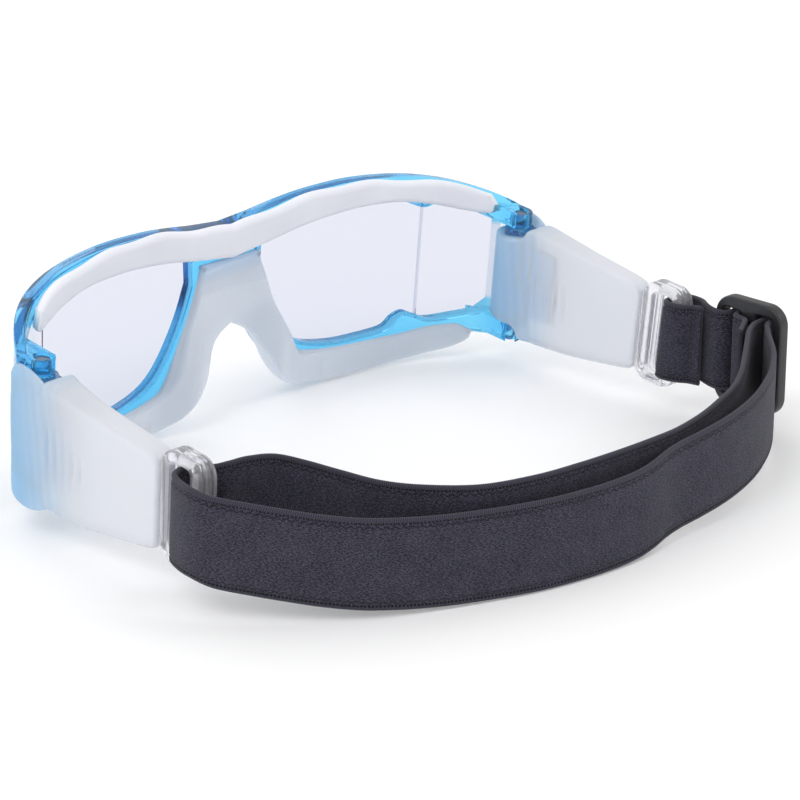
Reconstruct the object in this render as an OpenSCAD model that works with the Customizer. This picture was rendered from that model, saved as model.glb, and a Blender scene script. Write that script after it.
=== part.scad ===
// Sports safety goggles: clear blue wrap frame, curved lenses, soft pads,
// swinging silicone arms and an elastic head strap with a sliding buckle.
// Millimetres, +Z up. The goggles lie as they rest on a table.
// Origin: middle of the footprint, on the table. The wearer faces -Y, wearer's left is +X.

/* [Front frame] */
// Depth of the rim from front to back
rim_depth = 4.2; // [3.5:0.1:4.6]
// How much the front bows back towards the temples, square term per mm
bow_square = 0.0018; // [0.0017:0.0001:0.0020]
// Half distance between the two hinge pins
hinge_x = 70; // [69.5:0.1:70.5]
// Nose-down tilt of the frame and arms as they rest on a table, in degrees
rest_pitch = 7.8; // [7.4:0.1:8.2]

/* [Lenses] */
// Thickness of each lens
lens_t = 2; // [1.6:0.1:2.2]
// Half distance between the seams where lens and side window meet
seam_x = 56.2; // [55:0.2:57]

/* [Pads] */
// Thickness of the brow pad
brow_t = 3; // [2:0.1:3.5]
// Thickness of the nose and cheek pad
cheek_t = 2.6; // [2.2:0.1:3.4]
// Extra thickness of the pad beside the nose
nose_swell = 4; // [2:0.5:5]

/* [Arms and hinges] */
// Radius of each hinge pin
pin_r = 1.6; // [1.4:0.05:1.7]
// Radius of the soft barrel around each hinge
barrel_r = 5.4; // [5:0.1:5.5]
// Height of the swing gap above and below each knuckle
knuckle_gap = 0.35; // [0.3:0.05:0.6]

/* [Strap] */
// Width of the webbing
strap_w = 19; // [17:0.5:19.5]
// Thickness of the webbing
strap_t = 1.5; // [1.2:0.1:1.6]

/* [Slider] */
// Height of the sliding buckle
slider_h = 25.8; // [25:0.2:27]
// Length of the sliding buckle along the strap
slider_l = 18.4; // [18:0.2:20]
// Thickness of the sliding buckle
slider_t = 3; // [2.6:0.2:3.2]

/* [Hidden] */

// Where the worn frame of reference sits on the table
mid_x = -1.4;
mid_y = 67.37;
floor_z = -1.35;
// Pitch of the arms against the strap's own route
strap_pitch = 6.4;
// Fit between parts that are held, and between parts that run
held_gap = 0.05;
pad_gap = 0.1;
run_gap = 0.06;
// Step between the points of a bowed surface
bow_step = 3;
// Extra sweep where the front turns back at the hinges
end_sweep = 10.6;
// Hinge place and heights in the worn frame
hinge_y = 29.4;
upper_lug_z = [38, 41.8];
lower_lug_z = [8.6, 13.4];
lug_r = 2.8;
lug_back_y = 28.2;
// Lens groove in the rim
groove = 1.2;
lens_front = 1.1;
seam_gap = 0.3;
window_edge_x = 70.4;
rim_end_x = 73.3;
// Ring places in the worn frame
ring_x = [67.5, 72.7];
ring_y = [70, 82];
ring_z = [14.9, 39.1];
slot_y = [73, 78.95];
slot_z = [17.1, 37];
// Slider place, upright on the strap's own route
slider_x = -73.4;
slider_mid_y = 101.1;
slider_mid_z = 18;

// A smooth outline through a few points
function blend4(a, b, c, d, t) =
    0.5 * (2 * b + (c - a) * t + (2 * a - 5 * b + 4 * c - d) * t * t
           + (3 * b - a - 3 * c + d) * t * t * t);
function smooth_open(p, n) = concat(
    [for (i = [0 : len(p) - 2], k = [0 : n - 1])
        blend4(p[max(i - 1, 0)], p[i], p[i + 1], p[min(i + 2, len(p) - 1)], k / n)],
    [p[len(p) - 1]]);
function turned(p) = [for (i = [len(p) - 1 : -1 : 0]) p[i]];
// Each point of a closed outline moved outward by d
function grown(p, d) = [for (i = [0 : len(p) - 1])
    let (a = p[(i + len(p) - 1) % len(p)], b = p[(i + 1) % len(p)], t = (b - a) / norm(b - a))
    p[i] + d * [-t[1], t[0]]];
function mirrored_x(p) = [for (q = p) [-q[0], q[1]]];

// Front surface of the bowed rim, as depth against distance from the middle
function bow(x) = 0.2 + bow_square * x * x + end_sweep * pow(x / hinge_x, 8);
function steps(a, b) = [for (i = [0 : ceil((b - a) / bow_step)]) min(b, a + i * bow_step)];
function nose_bump(x) = nose_swell * exp(-pow((abs(x) - 12) / 7, 2));

// Half outlines in the worn frame, seen from the front: [distance out, height]
rim_top = [[0, 45.6], [8, 46.4], [16, 47.6], [24, 48.5], [36, 49], [48, 48.3], [57, 47.1],
           [64, 45.6], [69, 43.9], [72, 42.3], [75.5, 39.6]];
rim_bottom = [[75.5, 7.9], [70, 7.4], [62, 7.2], [50, 5.4], [40, 3.6], [30, 2.8], [23, 3.4],
              [18.6, 5.2], [14.8, 9], [11.4, 13.2], [8.6, 17.4], [5, 21.6], [0, 23.8]];
eye_top = [[10.4, 39], [15, 42.2], [24, 43.9], [36, 44.4], [46, 43.8], [51.2, 41.6], [55.8, 39.8],
           [59.5, 41.2], [62, 41.3], [64.6, 40.2], [67.2, 38.3], [70.2, 36.6]];
eye_bottom = [[70.2, 16], [68, 13], [63, 11], [59, 10.4], [56, 11.6], [53.6, 12.4],
              [51, 11.2], [48.4, 9], [41.5, 8.3], [34, 8.4], [26.6, 9.8], [21.6, 12.1],
              [17.9, 16], [14.5, 21.6], [12.1, 26.8], [10, 33]];
brow_upper = [[0, 46.4], [8, 47.2], [16, 48.5], [24, 49.5], [32, 49.8], [42, 49.3], [52, 48.1],
              [60, 46.9], [64.5, 45.4]];
brow_lower = [[66, 41.6], [64, 40.2], [60, 40.6], [54, 42], [46, 43.4], [38, 43.6], [30, 43.2],
              [20, 42], [10, 40.1], [0, 38.6]];
cheek_upper = [[8.6, 38.3], [9.3, 35], [10.5, 31.2], [12.3, 26.3], [14.3, 21.8], [16.5, 17.2],
               [18.9, 12.6], [21.8, 9.9], [30, 8.2], [40, 7.7], [50, 8], [58, 9.2], [63.5, 9.8]];
cheek_lower = [[65.8, 8.6], [65.2, 6], [62, 3.6], [57, 2.2], [50, 1.1], [42, 0.4], [33, 0],
               [26, 0.5], [21, 1.5], [16.6, 3.2], [13, 6.4], [10.1, 10.6], [7.9, 15],
               [4.9, 19.4], [0, 22.4]];
// How far back the swollen sides of the nose pad reach, as [y, z]
swell_side = [[-2, -2], [-2, 27], [7.6, 27], [13, 13], [13, -2]];

// Strap route before it is set on the table, in the order of the webbing:
// sewn end, inner run, left ring, outer run, slider, right ring, sewn tail.
// Each point is [x, y, height of the webbing's middle].
strap_route = [
    [-63.6, 105.6, 18.1], [-67.6, 103.3, 18.1], [-70.3, 101.7, 18.1], [-70.9, 99.8, 18.1],
    [-71.7, 97.9, 18.1], [-74.4, 97.8, 18.1], [-75.9, 99.1, 18.1], [-75.9, 102.7, 18.1],
    [-74.7, 104.3, 18.1], [-71.6, 104.4, 18.1], [-68.5, 105.1, 18.1], [-64.5, 107.3, 18.1],
    [-60.5, 110.1, 17.6], [-54.8, 114.02, 16.9], [-48, 118.58, 16.4], [-41, 122.23, 15.9],
    [-33, 124.65, 15.4], [-26, 126.2, 14.9], [-17.5, 127.3, 14.6], [-10, 127.4, 14.6],
    [0, 126.7, 14.5], [11, 125.5, 14.5], [21, 123.6, 14.5], [31.5, 119.4, 14.5], [40, 112.6, 15],
    [45, 106, 15.5], [48.5, 98.6, 16.5], [51.5, 92, 17.4], [55.5, 87.2, 18], [60.5, 84.9, 18.3],
    [64.6, 83.9, 18.35], [66.5, 82.4, 18.15], [66.7, 80.3, 18.15], [68, 79, 18.15],
    [70.1, 78.9, 18.15], [72.2, 79, 18.15], [73.5, 80.3, 18.15], [74, 82.8, 17.95],
    [75.2, 86.6, 17.8], [74.5, 91, 16.9], [70.2, 97, 15.8], [65.8, 102.3, 14.8],
    [61, 107.2, 13.7], [54.5, 112.5, 12.6], [45, 118, 11.7], [35, 123, 11.4], [24, 127.6, 11.35],
    [14, 130.2, 11.35], [6.5, 131.5, 11.5], [0, 132, 11.8], [-5, 131.8, 12.4], [-9.5, 131.1, 13],
    [-14.5, 130.7, 13.4], [-20, 130.94, 13.9], [-27, 130.97, 14.6], [-34, 130.1, 15.2],
    [-40.5, 128.51, 15.8], [-47, 125.92, 16.4], [-54, 122.05, 16.6], [-61, 116.9, 17],
    [-67, 110.9, 17.6], [-70, 108.1, 17.9], [-72, 106.7, 18.1], [-75.4, 106.5, 18.1],
    [-77.5, 105, 18.1], [-77.8, 101, 18.1], [-77.5, 97.2, 18.1], [-75.4, 95.8, 18.1],
    [-72.2, 95.7, 18.1], [-70.8, 94.3, 18.1], [-70.9, 91.9, 18.2], [-71.7, 89.2, 18.4],
    [-73.2, 86.6, 18.35], [-73.8, 83.6, 18.35], [-73.5, 81.3, 18.35], [-72.2, 80, 18.35],
    [-70.1, 79.9, 18.35], [-68, 80, 18.35], [-66.7, 81.3, 18.35], [-66.5, 83.6, 18.35],
    [-67.2, 86, 18.35], [-68.5, 88, 18.35], [-69.1, 90.3, 18.35]];
// The webbing leans with the rings and stands upright behind them
side_lean = tan(strap_pitch);
lean_full_y = 85;
lean_end_y = 91;

// Sets the strap's own route on the table
module placed() {
    translate([-mid_x, -mid_y, -floor_z]) rotate([strap_pitch - rest_pitch, 0, 0]) children();
}
module worn() { placed() rotate([-strap_pitch, 0, 0]) children(); }
module right_side() { mirror([1, 0, 0]) children(); }
module both_sides() { children(); right_side() children(); }

// A bowed wall between two depths behind the front surface
module bowed(a, b, front, back) {
    xs = steps(a, b);
    linear_extrude(60)
        polygon(concat([for (x = xs) [x, bow(x) + front]],
                       [for (x = turned(xs)) [x, bow(x) + back]]));
}
// A straight cut through an outline that is seen from the front
module elevation(points) {
    translate([0, 60, 0]) rotate([90, 0, 0]) linear_extrude(70) polygon(points);
}
// The same for an outline that is seen from the side, as [y, z]
module side_cut(x0, x1, points) {
    translate([x0, 0, 0]) rotate([90, 0, 90]) linear_extrude(x1 - x0) polygon(points);
}
module block(low, high) { translate(low) cube(high - low); }
module at_pin(z0, z1, r) {
    translate([hinge_x, hinge_y, z0]) cylinder(h = z1 - z0, r = r, $fn = 64);
}
module round_plate(x0, x1, y, z, r) {
    translate([x0, 0, 0]) rotate([90, 0, 90]) linear_extrude(x1 - x0) {
        translate([y[0] + r, z[0]]) square([y[1] - y[0] - 2 * r, z[1] - z[0]]);
        translate([y[0], z[0] + r]) square([y[1] - y[0], z[1] - z[0] - 2 * r]);
        for (cy = [y[0] + r, y[1] - r], cz = [z[0] + r, z[1] - r])
            translate([cy, cz]) circle(r = r, $fn = 48);
    }
}

// ---- Front frame and lenses, drawn for the left side
eye = concat(smooth_open(eye_top, 2), smooth_open(eye_bottom, 2));

module lens_blank(gap) {
    intersection() {
        bowed(8, window_edge_x, lens_front - gap, lens_front + lens_t + gap);
        elevation(grown(eye, groove - held_gap + gap));
    }
}
module lens() {
    color([0.92, 0.93, 0.98, 0.4]) intersection() {
        lens_blank(0);
        block([8, -5, 5], [seam_x - seam_gap / 2, 40, 50]);
    }
}
module side_window() {
    color([0.92, 0.93, 0.98, 0.4]) intersection() {
        lens_blank(0);
        block([seam_x + seam_gap / 2, -5, 5], [window_edge_x - held_gap, 40, 50]);
    }
}
module lug(z) {
    at_pin(z[0], z[1], lug_r);
    intersection() {
        block([hinge_x - lug_r, 15, z[0]], [hinge_x + lug_r, hinge_y, z[1]]);
        bowed(60, 76, 0.5, 40);
    }
}
module lug_bore(z) {
    at_pin(z[0] - 1, z[1] + 1, pin_r + run_gap);
    translate([hinge_x, hinge_y, z[0] - 1]) rotate([0, 0, 135])
        translate([0, -pin_r * 0.7, 0]) cube([6, pin_r * 1.4, z[1] - z[0] + 2]);
}
module front_frame() {
    half = concat(smooth_open(rim_top, 2), smooth_open(rim_bottom, 2));
    color([0.45, 0.78, 0.98, 0.75]) worn() difference() {
        union() {
            intersection() {
                bowed(-rim_end_x, rim_end_x, 0, rim_depth);
                elevation(concat(half, turned(mirrored_x(half))));
                block([-80, -5, 0], [80, lug_back_y, 60]);
            }
            both_sides() {
                lug(upper_lug_z);
                lug(lower_lug_z);
            }
        }
        both_sides() {
            elevation(eye);
            lens_blank(held_gap);
            lug_bore(upper_lug_z);
            lug_bore(lower_lug_z);
            intersection() {
                bowed(67, 80, lens_front, 30);
                block([67, 10, lower_lug_z[1]], [80, 50, upper_lug_z[0]]);
            }
            block([71.8, 10, lower_lug_z[1]], [80, 50, upper_lug_z[0]]);
        }
    }
}

// ---- Soft pads
module brow_pad() {
    half = concat(smooth_open(brow_upper, 2), smooth_open(brow_lower, 2));
    color([0.92, 0.93, 0.97]) worn() intersection() {
        bowed(-66, 66, rim_depth + pad_gap, rim_depth + brow_t);
        elevation(concat(half, turned(mirrored_x(half))));
    }
}
module cheek_slab(swell) {
    xs = steps(-66, 66);
    linear_extrude(60)
        polygon(concat([for (x = xs) [x, bow(x) + rim_depth + pad_gap]],
                       [for (x = turned(xs))
                           [x, bow(x) + rim_depth + cheek_t + swell * nose_bump(x)]]));
}
module nose_pad() {
    half = concat(smooth_open(cheek_upper, 2), smooth_open(cheek_lower, 2));
    color([0.85, 0.89, 0.94, 0.9]) worn() intersection() {
        union() {
            cheek_slab(0);
            intersection() {
                cheek_slab(1);
                side_cut(-34, 34, swell_side);
            }
        }
        elevation(concat(half, turned(mirrored_x(half))));
    }
}

// ---- Hinges and arms, drawn for the left side
core_z = [lower_lug_z[1] + knuckle_gap, upper_lug_z[0] - knuckle_gap];
knuckle_r = 3.4;
module core_shape(gap) {
    at_pin(core_z[0] - gap, core_z[1] + gap, knuckle_r + gap);
    block([hinge_x - 2.6 - gap, hinge_y, core_z[0] - gap],
          [hinge_x + 2.6 + gap, 33.6 + gap, core_z[1] + gap]);
    block([69.6 - gap, 33, 17 - gap], [72 + gap, 42 + gap, 34 + gap]);
}
module arm_core() {
    color([0.35, 0.68, 0.95, 0.8]) difference() {
        core_shape(0);
        at_pin(0, 60, pin_r + run_gap);
    }
}
module hinge_pin() {
    color([0.93, 0.95, 1]) at_pin(lower_lug_z[0] + 0.2, upper_lug_z[1] - 0.6, pin_r);
}
module ring_tongue(gap) {
    block([69.2 - gap, 63.5, 19.5 - gap], [71 + gap, 70.1, 34 + gap]);
}
arm_plan = [[65.1, 28.6], [65.6, 33.4], [67.2, 38], [67.9, 46], [67.6, 69.95],
            [72.8, 69.95], [73.6, 52], [74.2, 36], [74.2, 24.4]];
arm_side = [[23, 14.1], [23, 35.5], [28, 36.2], [33.2, 36.8], [34.1, 39], [36, 39.5],
            [51, 38], [61, 37.3], [67, 36.7], [69.95, 35], [69.95, 17], [69.2, 15.9],
            [62, 14.1], [50, 11.8], [38, 10.8], [34.8, 10.9], [33.9, 13.6], [31, 14.1]];
rib_y = [38, 41, 44, 47];
module arm() {
    color([0.9, 0.92, 0.97, 0.85]) difference() {
        union() {
            intersection() {
                union() {
                    at_pin(5, 45, barrel_r);
                    linear_extrude(45) polygon(arm_plan);
                }
                side_cut(60, 74.2, arm_side);
            }
            block([73.1, 28.6, 10], [74.2, 35, 39]);
            block([rim_end_x + held_gap, 24.4, 9], [74.2, 35, 40.2]);
        }
        core_shape(held_gap);
        ring_tongue(held_gap);
        for (i = [0 : len(rib_y) - 1])
            block([60, rib_y[i], 16 + 1.5 * i], [67.5 + 0.1 * i, rib_y[i] + 1.2, 32 - 1.5 * i]);
    }
}

// ---- Strap, rings and slider
module strap_ring() {
    color([0.93, 0.94, 0.98, 0.6]) {
        difference() {
            round_plate(ring_x[0], ring_x[1], ring_y, ring_z, 4);
            block([60, slot_y[0], slot_z[0]], [80, slot_y[1], slot_z[1]]);
        }
        ring_tongue(0);
    }
}
end_bar = 2.3;
centre_bar = 4.1;
module strap_slider() {
    z = [slider_mid_z - slider_h / 2, slider_mid_z + slider_h / 2];
    slot_h = [slider_mid_z - 10.1, slider_mid_z + 10.1];
    color([0.12, 0.12, 0.14]) placed() difference() {
        round_plate(slider_x - slider_t / 2, slider_x + slider_t / 2,
                    [slider_mid_y - slider_l / 2, slider_mid_y + slider_l / 2], z, 4.5);
        block([-80, slider_mid_y - slider_l / 2 + end_bar, slot_h[0]],
              [-60, slider_mid_y - centre_bar / 2, slot_h[1]]);
        block([-80, slider_mid_y + centre_bar / 2, slot_h[0]],
              [-60, slider_mid_y + slider_l / 2 - end_bar, slot_h[1]]);
    }
}
function lean(y) = side_lean * min(1, max(0, (lean_end_y - y) / (lean_end_y - lean_full_y)));
function flat_dir(p, i) =
    let (d = p[min(i + 1, len(p) - 1)] - p[max(i - 1, 0)], n = norm([d[0], d[1]]))
    [d[0] / n, d[1] / n, 0];
function webbing_corners(p, i) =
    let (d = flat_dir(p, i), side = [d[1], -d[0], 0] * strap_t / 2,
         up = [0, lean(p[i][1]), 1] * strap_w / 2)
    [p[i] + side - up, p[i] + side + up, p[i] - side + up, p[i] - side - up];
module webbing(p) {
    last = len(p) - 1;
    polyhedron(points = [for (i = [0 : last], c = webbing_corners(p, i)) c],
               faces = concat([[0, 1, 2, 3]],
                              [for (i = [0 : last - 1], k = [0 : 3])
                                  [4 * i + k, 4 * i + 4 + k, 4 * i + 4 + (k + 1) % 4,
                                   4 * i + (k + 1) % 4]],
                              [[4 * last + 3, 4 * last + 2, 4 * last + 1, 4 * last]]));
}
module strap() { color([0.25, 0.25, 0.31]) placed() webbing(smooth_open(strap_route, 2)); }

// Rows of thread that hold the two folded ends
module stitch_row(x, y, z, turn, reach) {
    for (k = [-3 : 3])
        translate([x, y + lean(y) * k * 2.6, z + k * 2.6]) rotate([0, 90, turn])
            translate([0, 0, -reach / 2]) cylinder(h = reach, r = 0.3, $fn = 16);
}
module strap_stitching() {
    color([0.16, 0.16, 0.2]) placed() {
        stitch_row(-65.6, 105.5, 18.1, 120, 4);
        stitch_row(-70, 90, 18.35, 0, 3.8);
    }
}

front_frame();
worn() lens();  // lens_left
worn() right_side() lens();  // lens_right
worn() side_window();  // side_window_left
worn() right_side() side_window();  // side_window_right
brow_pad();
nose_pad();
worn() hinge_pin();  // hinge_pin_left
worn() right_side() hinge_pin();  // hinge_pin_right
worn() arm_core();  // arm_core_left
worn() right_side() arm_core();  // arm_core_right
worn() arm();  // arm_left
worn() right_side() arm();  // arm_right
worn() strap_ring();  // strap_ring_left
worn() right_side() strap_ring();  // strap_ring_right
strap();
strap_slider();
strap_stitching();
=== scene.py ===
"""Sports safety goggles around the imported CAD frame: rim, lenses, pads, arms, rings and strap."""
import math

import bmesh
import bpy
import numpy as np
from mathutils import Matrix, Vector
from mathutils.geometry import tessellate_polygon


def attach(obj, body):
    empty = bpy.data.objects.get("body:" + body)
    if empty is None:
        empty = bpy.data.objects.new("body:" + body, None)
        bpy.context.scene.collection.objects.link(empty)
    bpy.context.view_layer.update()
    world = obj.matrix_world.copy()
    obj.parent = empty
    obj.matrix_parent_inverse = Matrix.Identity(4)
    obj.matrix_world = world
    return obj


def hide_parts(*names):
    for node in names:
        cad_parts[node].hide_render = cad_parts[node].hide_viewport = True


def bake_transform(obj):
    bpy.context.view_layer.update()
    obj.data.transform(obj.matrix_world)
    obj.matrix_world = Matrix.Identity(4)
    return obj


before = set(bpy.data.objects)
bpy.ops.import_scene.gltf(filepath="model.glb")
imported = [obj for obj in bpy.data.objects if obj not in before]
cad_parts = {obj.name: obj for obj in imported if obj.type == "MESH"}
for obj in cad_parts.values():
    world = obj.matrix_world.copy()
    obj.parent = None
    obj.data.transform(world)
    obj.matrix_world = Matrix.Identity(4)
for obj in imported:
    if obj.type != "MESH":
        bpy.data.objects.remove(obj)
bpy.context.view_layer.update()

# Lengths are in mm until a point is placed, and in metres in the materials
MM = 0.001
STRAP_PITCH = math.radians(6.4)
TABLE_PITCH = math.radians(1.4)
MID = (-1.4, 67.37, -1.35)
BOW_FRONT_Y, BOW_SQUARE = 0.2, 0.0018
END_SWEEP, END_SWEEP_POWER = 10.6, 8
HINGE = (70.0, 29.4)
RIM_DEPTH = 4.2
RIM_END_X = 73.3
SLEEVE_X = 74.2
SLEEVE_GAP = 0.05
SLEEVE_PROUD = 0.03
SLEEVE_SINK, SLEEVE_SINK_Y = 0.8, 31.0
RIM_END_Y = 28.2
THIN_FROM_X, END_BAR_X, THIN_DEPTH = 66.8, 71.8, 1.1
LUG_GAP_Z = (13.4, 38.0)
LUGS_Z = ((8.6, 13.4), (38.0, 41.8))
RIM_STEP_X, RIM_STEP_Z = 0.8, 0.6
LUG_R, LUG_FOOT = 2.8, 0.5
BORE_R = 1.66
LENS_FRONT = 1.1
LENS_T = 2.0
LENS_EDGE = 1.0
SEAM_X = 56.2
SEAM_GAP = 0.3
WINDOW_EDGE_X = 70.3
EYE_END_X = 70.2
BROW_T = 3.0
BROW_DRIFT, BROW_DROP, BROW_END_X = 2.8, 0.35, 65.0
BROW_WAVE, BROW_WAVE_LENGTH, BROW_WAVE_FROM_Z = 0.28, 17.0, 44.0
CHEEK_T = 2.6
NOSE_SWELL, NOSE_SWELL_X, NOSE_SWELL_W = 4.0, 12.0, 7.0
NOSE_SWELL_TOP_Z, NOSE_SWELL_RUN = 26.0, 14.0
BRIDGE_THIN, BRIDGE_FROM_Z, BRIDGE_RUN = 0.9, 31.0, 6.0
PAD_GAP = 0.1
BARREL_R = 5.4
ARM_T = 6.0
RIM_EDGE_R, SMALL_EDGE_R, LENS_EDGE_R, SLIDER_EDGE_R = 0.62, 0.35, 0.15, 0.6
BROW_EDGE_R, CHEEK_EDGE_R, ARM_EDGE_R = 1.3, 1.1, 1.1
STRAP_W = 19.0
CAMERA_PLACE, CAMERA_AIM = (340.7, 421.1, 208.4), (31.0, 97.04, 35.0)
CAMERA_LENS, CAMERA_ROLL = 111.2, math.radians(0.75)


# ---------------------------------------------------------------- places
def tilt(y, z, angle):
    return y * math.cos(angle) + z * math.sin(angle), z * math.cos(angle) - y * math.sin(angle)


def table(x, y, z):
    """A point of the strap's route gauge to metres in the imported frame."""
    y, z = tilt(y, z, TABLE_PITCH)
    return Vector(((x - MID[0]) * MM, (y - MID[1]) * MM, (z - MID[2]) * MM))


def worn(x, y, z):
    """A point of the level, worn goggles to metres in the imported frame."""
    return table(x, *tilt(y, z, STRAP_PITCH))


def bow(x):
    """How far back the front surface lies at a distance out."""
    return BOW_FRONT_Y + BOW_SQUARE * x * x + END_SWEEP * (abs(x) / HINGE[0]) ** END_SWEEP_POWER


def ease(t):
    t = min(1.0, max(0.0, t))
    return t * t * (3 - 2 * t)


def pulse(value, middle, half_width):
    """1 at the middle, falling smoothly to 0 at half_width from it."""
    return 1.0 - ease(abs(value - middle) / half_width)


# ---------------------------------------------------------------- outlines, [distance out, height]
RIM_TOP = [(0, 45.6), (8, 46.4), (16, 47.6), (24, 48.5), (36, 49), (48, 48.3), (57, 47.1),
           (64, 45.6), (69, 43.9), (71.6, 42.5), (73, 41)]
RIM_NOTCH = [(73.3, 40.2), (73.3, 38.4), (72.9, 38), (72.2, 38), (71.8, 37.4), (71.8, 26),
             (71.8, 14), (72.2, 13.4), (72.9, 13.4), (73.3, 12.9), (73.3, 9.2)]
RIM_BOTTOM = [(72.8, 7.9), (70, 7.4), (62, 7.2), (50, 5.4), (40, 3.6), (30, 2.8), (23, 3.4),
              (18.6, 5.2), (14.8, 9), (11.4, 13.2), (8.6, 17.4), (5, 21.6), (0, 23.8)]
EYE_TOP = [(10.4, 39), (15, 42.2), (24, 43.9), (36, 44.4), (46, 43.8), (51.2, 41.6), (55.8, 39.8),
           (59.5, 41.2), (62, 41.3), (64.6, 40.2), (67.2, 38.3), (EYE_END_X, 36.6)]
EYE_BOTTOM = [(EYE_END_X, 16), (68, 13), (63, 11), (59, 10.4), (56, 11.6), (53.6, 12.4),
              (51, 11.2), (48.4, 9), (41.5, 8.3), (34, 8.4), (26.6, 9.8), (21.6, 12.1),
              (17.9, 16), (14.5, 21.6), (12.1, 26.8), (10, 33)]
BROW_UPPER = [(0, 46.4), (8, 47.2), (16, 48.5), (24, 49.5), (32, 49.8), (42, 49.3), (52, 48.1),
              (60, 46.9), (64.5, 45.4)]
BROW_LOWER = [(66, 41.6), (64, 40.2), (60, 40.6), (54, 42), (46, 43.4), (38, 43.6), (30, 43.2),
              (20, 42), (10, 40.1), (0, 38.6)]
CHEEK_UPPER = [(8.6, 38.3), (9.3, 35), (10.5, 31.2), (12.3, 26.3), (14.3, 21.8), (16.5, 17.2),
               (18.9, 12.6), (21.8, 9.9), (30, 8.2), (40, 7.7), (50, 8), (58, 9.2), (63.5, 9.8)]
CHEEK_LOWER = [(65.8, 8.6), (65.2, 6), (62, 3.6), (57, 2.2), (50, 1.1), (42, 0.4), (33, 0),
               (26, 0.5), (21, 1.5), (16.6, 3.2), (13, 6.4), (10.1, 10.6), (7.9, 15),
               (4.9, 19.4), (0, 22.4)]
# The arm and its sleeve from the side: [distance back, height]
ARM_SIDE = [(24, 15), (24, 34.8), (28, 35.9), (33.2, 36.8), (34.8, 38.9), (37, 39.4),
            (44, 38.7), (51, 38), (58, 37.5), (64, 37.1), (67.8, 36.5), (69.6, 35), (69.95, 32.5),
            (69.95, 27), (69.95, 20), (69.7, 17.2), (68.4, 15.7), (64, 14.6), (57, 13.1),
            (50, 11.8), (43, 11), (38, 10.8), (34.8, 11), (33.4, 13.4), (31, 14.1)]
SLEEVE_SIDE = [(24.4, 37.5), (25.6, 39.6), (28, 40.4), (31.5, 40), (35, 38.4), (39, 36), (41, 30),
               (41, 20), (39, 13.5), (35, 10.2), (31.5, 8.8), (28, 8.6), (25.6, 9.4), (24.4, 11.5),
               (24.4, 20), (24.4, 30)]
RING_X, RING_Y, RING_Z = (67.5, 72.7), (70.0, 82.0), (14.9, 39.1)
SLOT_Y, SLOT_Z = (73.6, 78.95), (17.1, 37.0)
RING_R, SLOT_R = 4.0, 1.0
# The slider stands upright on the strap's own route
SLIDER_X, SLIDER_Y, SLIDER_Z = (-74.9, -71.9), (91.9, 110.3), (5.1, 30.9)
SLIDER_END_BAR, SLIDER_CENTRE_BAR, SLIDER_SLOT_H = 2.3, 4.1, 20.2
SLIDER_R, SLIDER_SLOT_R = 4.5, 0.8

# The webbing's route: (x, y, height of its middle). It is part.scad's route, but for places 27 to 39
# beside the left ring, where it stands up to 1.5 mm off that.
STRAP_ROUTE = [
    (-63.6, 105.6, 18.1), (-67.6, 103.3, 18.1), (-70.3, 101.7, 18.1), (-70.9, 99.8, 18.1),
    (-71.7, 97.9, 18.1), (-74.4, 97.8, 18.1), (-75.9, 99.1, 18.1), (-75.9, 102.7, 18.1),
    (-74.7, 104.3, 18.1), (-71.6, 104.4, 18.1), (-68.5, 105.1, 18.1), (-64.5, 107.3, 18.1),
    (-60.5, 110.1, 17.6), (-54.8, 114.02, 16.9), (-48, 118.58, 16.4), (-41, 122.23, 15.9),
    (-33, 124.65, 15.4), (-26, 126.2, 14.9), (-17.5, 127.3, 14.6), (-10, 127.4, 14.6),
    (0, 126.7, 14.5), (11, 125.5, 14.5), (21, 123.6, 14.5), (31.5, 119.4, 14.5), (40, 112.6, 15),
    (45, 106, 15.5), (48.5, 98.6, 16.5), (51.5, 92, 17.5), (55.5, 87.2, 18.8), (60.5, 84.9, 19.3),
    (64.6, 83.9, 19.2), (66.5, 81.8, 18.5), (66.7, 79.2, 18.15), (68, 77.9, 18.15),
    (70.1, 77.7, 18.15), (72.3, 77.9, 18.15), (74.1, 79.2, 18.15), (75.2, 82, 17.95),
    (75.8, 86.2, 17.8), (74.6, 91, 16.9), (70.2, 97, 15.8), (65.8, 102.3, 14.8), (61, 107.2, 13.7),
    (54.5, 112.5, 12.6), (45, 118, 11.7), (35, 123, 11.4), (24, 127.6, 11.35), (14, 130.2, 11.35),
    (6.5, 131.5, 11.5), (0, 132, 11.8), (-5, 131.8, 12.4), (-9.5, 131.1, 13), (-14.5, 130.7, 13.4),
    (-20, 130.94, 13.9), (-27, 130.97, 14.6), (-34, 130.1, 15.2), (-40.5, 128.51, 15.8),
    (-47, 125.92, 16.4), (-54, 122.05, 16.6), (-61, 116.9, 17), (-67, 110.9, 17.6),
    (-70, 108.1, 17.9), (-72, 106.7, 18.1), (-75.4, 106.5, 18.1), (-77.5, 105, 18.1),
    (-77.8, 101, 18.1), (-77.5, 97.2, 18.1), (-75.4, 95.8, 18.1), (-72.2, 95.7, 18.1),
    (-70.8, 94.3, 18.1), (-70.9, 91.9, 18.2), (-71.7, 89.2, 18.4), (-73.2, 86.6, 18.35),
    (-73.8, 83.6, 18.35), (-73.5, 81.3, 18.35), (-72.2, 80, 18.35), (-70.1, 79.9, 18.35),
    (-68, 80, 18.35), (-66.7, 81.3, 18.35), (-66.5, 83.6, 18.35), (-67.2, 86, 18.35),
    (-68.5, 88, 18.35), (-69.1, 90.3, 18.35)]
ROUTE_STEPS = 8
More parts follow.
